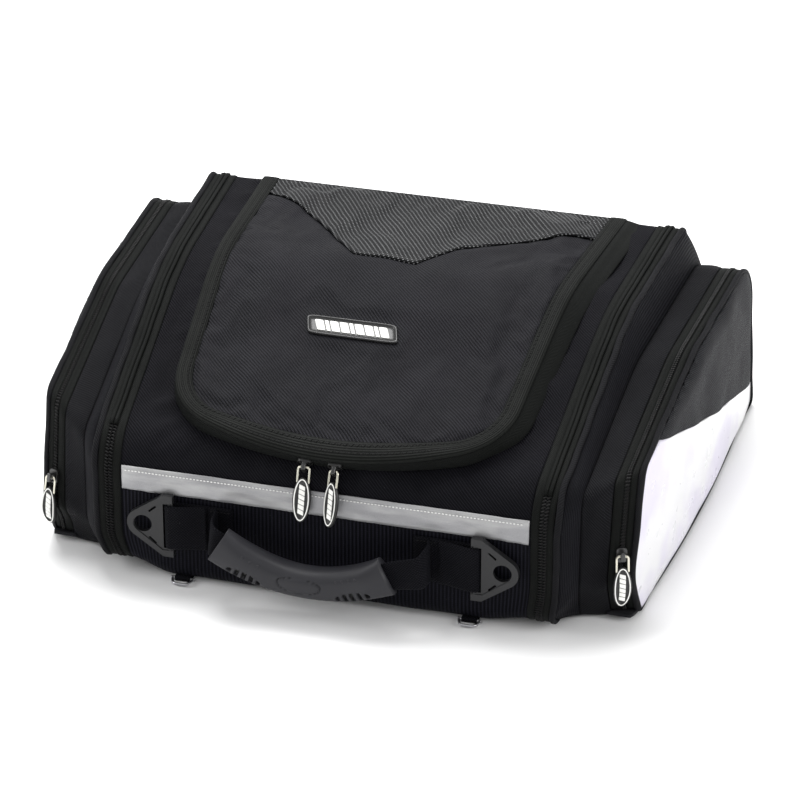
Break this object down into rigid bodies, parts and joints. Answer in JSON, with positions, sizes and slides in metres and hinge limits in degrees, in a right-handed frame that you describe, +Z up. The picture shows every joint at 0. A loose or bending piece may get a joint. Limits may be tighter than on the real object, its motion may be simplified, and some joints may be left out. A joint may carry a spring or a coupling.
{
  "type": "motorcycle tail bag",
  "caption": "Wedge-shaped padded motorcycle tail bag with a zipped raised lid, expanding sides, zipped side pockets, a front carrying handle and strap rings.",
  "frame": {"origin": "on the ground under the middle of the flat base", "axes": "+X to the bag's right as seen from the handle side, +Y from the handle towards the back, +Z up"},
  "size_m": [0.4996, 0.4443, 0.186],
  "materials": {
    "twill": "matte",
    "ribbed_fabric": "matte",
    "mesh_weave": "satin",
    "binding": "matte",
    "zip_tape": "satin",
    "webbing": "matte",
    "lining": "matte",
    "coated_base": "matte",
    "stiff_board": "matte",
    "reflective": "satin",
    "white_vinyl": "gloss",
    "moulded_rubber": "satin",
    "grip_rubber": "satin",
    "ring_plastic": "satin",
    "zip_metal": "gloss",
    "wire": "satin",
    "anchor_metal": "satin"
  },
  "bodies": {
    "bag_body": {"base_panel": "coated_base", "base_board": "stiff_board", "rear_board": "stiff_board", "front_band": "ribbed_fabric", "reflective_strip": "reflective", "main_shell": "twill", "rear_panel": "twill", "lid_zip_lower": "zip_tape", "front_webbing": "webbing", "anchor_tabs": "webbing", "expansion_zip_inner_left": "zip_tape", "expansion_zip_inner_right": "zip_tape", "expansion_gusset_left": "lining", "expansion_gusset_right": "lining"},
    "lid": {"lid_panel": "twill", "lid_foam": "lining", "lid_carbon_panel": "mesh_weave", "lid_binding": "binding", "lid_gusset": "zip_tape", "lid_badge": "moulded_rubber"},
    "handle": {"handle_grip": "grip_rubber", "handle_webbing": "webbing"},
    "lid_slider_left": {"lid_slider_left": "zip_metal"},
    "lid_pull_left": {"lid_pull_wire_left": "wire", "lid_pull_tag_left": "moulded_rubber"},
    "side_left": {"side_wall_left": "ribbed_fabric", "side_piping_left": "binding", "expansion_zip_outer_left": "zip_tape", "pocket_tray_left": "twill", "pocket_zip_inner_left": "zip_tape"},
    "pocket_cover_left": {"pocket_cover_left": "twill", "pocket_white_panel_left": "white_vinyl", "pocket_piping_left": "binding", "pocket_zip_outer_left": "zip_tape"},
    "pocket_slider_left": {"pocket_slider_left": "zip_metal"},
    "pocket_pull_left": {"pocket_pull_wire_left": "wire", "pocket_pull_tag_left": "moulded_rubber"},
    "expansion_slider_left": {"expansion_slider_left": "zip_metal"},
    "strap_ring_left": {"strap_ring_left": "ring_plastic"},
    "anchor_ring_front_left": {"anchor_ring_front_left": "anchor_metal"},
    "anchor_ring_rear_left": {"anchor_ring_rear_left": "anchor_metal"},
    "lid_slider_right": {"lid_slider_right": "zip_metal"},
    "lid_pull_right": {"lid_pull_wire_right": "wire", "lid_pull_tag_right": "moulded_rubber"},
    "side_right": {"side_wall_right": "ribbed_fabric", "side_piping_right": "binding", "expansion_zip_outer_right": "zip_tape", "pocket_tray_right": "twill", "pocket_zip_inner_right": "zip_tape"},
    "pocket_cover_right": {"pocket_cover_right": "twill", "pocket_white_panel_right": "white_vinyl", "pocket_piping_right": "binding", "pocket_zip_outer_right": "zip_tape"},
    "pocket_slider_right": {"pocket_slider_right": "zip_metal"},
    "pocket_pull_right": {"pocket_pull_wire_right": "wire", "pocket_pull_tag_right": "moulded_rubber"},
    "expansion_slider_right": {"expansion_slider_right": "zip_metal"},
    "strap_ring_right": {"strap_ring_right": "ring_plastic"},
    "anchor_ring_front_right": {"anchor_ring_front_right": "anchor_metal"},
    "anchor_ring_rear_right": {"anchor_ring_rear_right": "anchor_metal"}
  },
  "joints": [
    {"name": "lid_hinge", "type": "hinge", "parent": "bag_body", "child": "lid", "pos_m": [0, 0.148, 0.175], "axis": [-1, 0, 0], "range_deg": [0, 110]},
    {"name": "lid_slider_left_run", "type": "hinge", "parent": "bag_body", "child": "lid_slider_left", "pos_m": [0, 0.04259, 0.3164], "axis": [0, 0.6428, -0.766], "range_deg": [0, 5]},
    {"name": "lid_pull_left_swing", "type": "hinge", "parent": "lid_slider_left", "child": "lid_pull_left", "pos_m": [-0.015, -0.19477, 0.11368], "axis": [-1, 0, 0], "range_deg": [0, 75]},
    {"name": "side_left_expansion", "type": "slide", "parent": "bag_body", "child": "side_left", "axis": [-0.9988, -0.048, 0], "range_m": [0, 0.04], "deforming": ["expansion_gusset_left"]},
    {"name": "pocket_cover_left_hinge", "type": "hinge", "parent": "side_left", "child": "pocket_cover_left", "pos_m": [-0.24532, 0.01528, 0.0028], "axis": [0.048, -0.9988, 0], "range_deg": [0, 80]},
    {"name": "pocket_slider_left_run", "type": "slide", "parent": "side_left", "child": "pocket_slider_left", "axis": [0.067, 0.1723, 0.9828], "range_m": [0, 0.03]},
    {"name": "pocket_pull_left_swing", "type": "hinge", "parent": "pocket_slider_left", "child": "pocket_pull_left", "pos_m": [-0.22246, -0.175, 0.06311], "axis": [-0.932, 0.3624, 0], "range_deg": [0, 75]},
    {"name": "expansion_slider_left_run", "type": "slide", "parent": "bag_body", "child": "expansion_slider_left", "axis": [0.0118, -0.2453, 0.9694], "range_m": [0, 0.1]},
    {"name": "strap_ring_left_swing", "type": "hinge", "parent": "bag_body", "child": "strap_ring_left", "pos_m": [-0.1178, -0.2028, 0.052], "axis": [0, 0, 1], "range_deg": [0, 120]},
    {"name": "anchor_ring_front_left_swing", "type": "hinge", "parent": "bag_body", "child": "anchor_ring_front_left", "pos_m": [-0.112, -0.1945, 0.0023], "axis": [-1, 0, 0], "range_deg": [0, 60]},
    {"name": "anchor_ring_rear_left_swing", "type": "hinge", "parent": "bag_body", "child": "anchor_ring_rear_left", "pos_m": [-0.12, 0.1998, 0.0023], "axis": [1, 0, 0], "range_deg": [0, 90]},
    {"name": "lid_slider_right_run", "type": "hinge", "parent": "bag_body", "child": "lid_slider_right", "pos_m": [0, 0.04259, 0.3164], "axis": [0, -0.6428, 0.766], "range_deg": [0, 5]},
    {"name": "lid_pull_right_swing", "type": "hinge", "parent": "lid_slider_right", "child": "lid_pull_right", "pos_m": [0.008, -0.19497, 0.11351], "axis": [-0.848, 0.4841, -0.2155], "range_deg": [0, 75]},
    {"name": "side_right_expansion", "type": "slide", "parent": "bag_body", "child": "side_right", "axis": [0.9988, -0.048, 0], "range_m": [0, 0.04], "deforming": ["expansion_gusset_right"]},
    {"name": "pocket_cover_right_hinge", "type": "hinge", "parent": "side_right", "child": "pocket_cover_right", "pos_m": [0.24532, 0.01528, 0.0028], "axis": [0.048, 0.9988, 0], "range_deg": [0, 80]},
    {"name": "pocket_slider_right_run", "type": "slide", "parent": "side_right", "child": "pocket_slider_right", "axis": [-0.067, 0.1723, 0.9828], "range_m": [0, 0.03]},
    {"name": "pocket_pull_right_swing", "type": "hinge", "parent": "pocket_slider_right", "child": "pocket_pull_right", "pos_m": [0.22246, -0.175, 0.06311], "axis": [-0.932, -0.3624, 0], "range_deg": [0, 75]},
    {"name": "expansion_slider_right_run", "type": "slide", "parent": "bag_body", "child": "expansion_slider_right", "axis": [-0.0118, -0.2453, 0.9694], "range_m": [0, 0.1]},
    {"name": "strap_ring_right_swing", "type": "hinge", "parent": "bag_body", "child": "strap_ring_right", "pos_m": [0.1178, -0.2028, 0.052], "axis": [0, 0, -1], "range_deg": [0, 120]},
    {"name": "anchor_ring_front_right_swing", "type": "hinge", "parent": "bag_body", "child": "anchor_ring_front_right", "pos_m": [0.112, -0.1945, 0.0023], "axis": [-1, 0, 0], "range_deg": [0, 60]},
    {"name": "anchor_ring_rear_right_swing", "type": "hinge", "parent": "bag_body", "child": "anchor_ring_rear_right", "pos_m": [0.12, 0.1998, 0.0023], "axis": [1, 0, 0], "range_deg": [0, 90]},
    {"name": "handle_swing", "type": "hinge", "parent": "bag_body", "child": "handle", "pos_m": [0, -0.202, 0.068], "axis": [-1, 0, 0], "range_deg": [0, 85]}
  ]
}
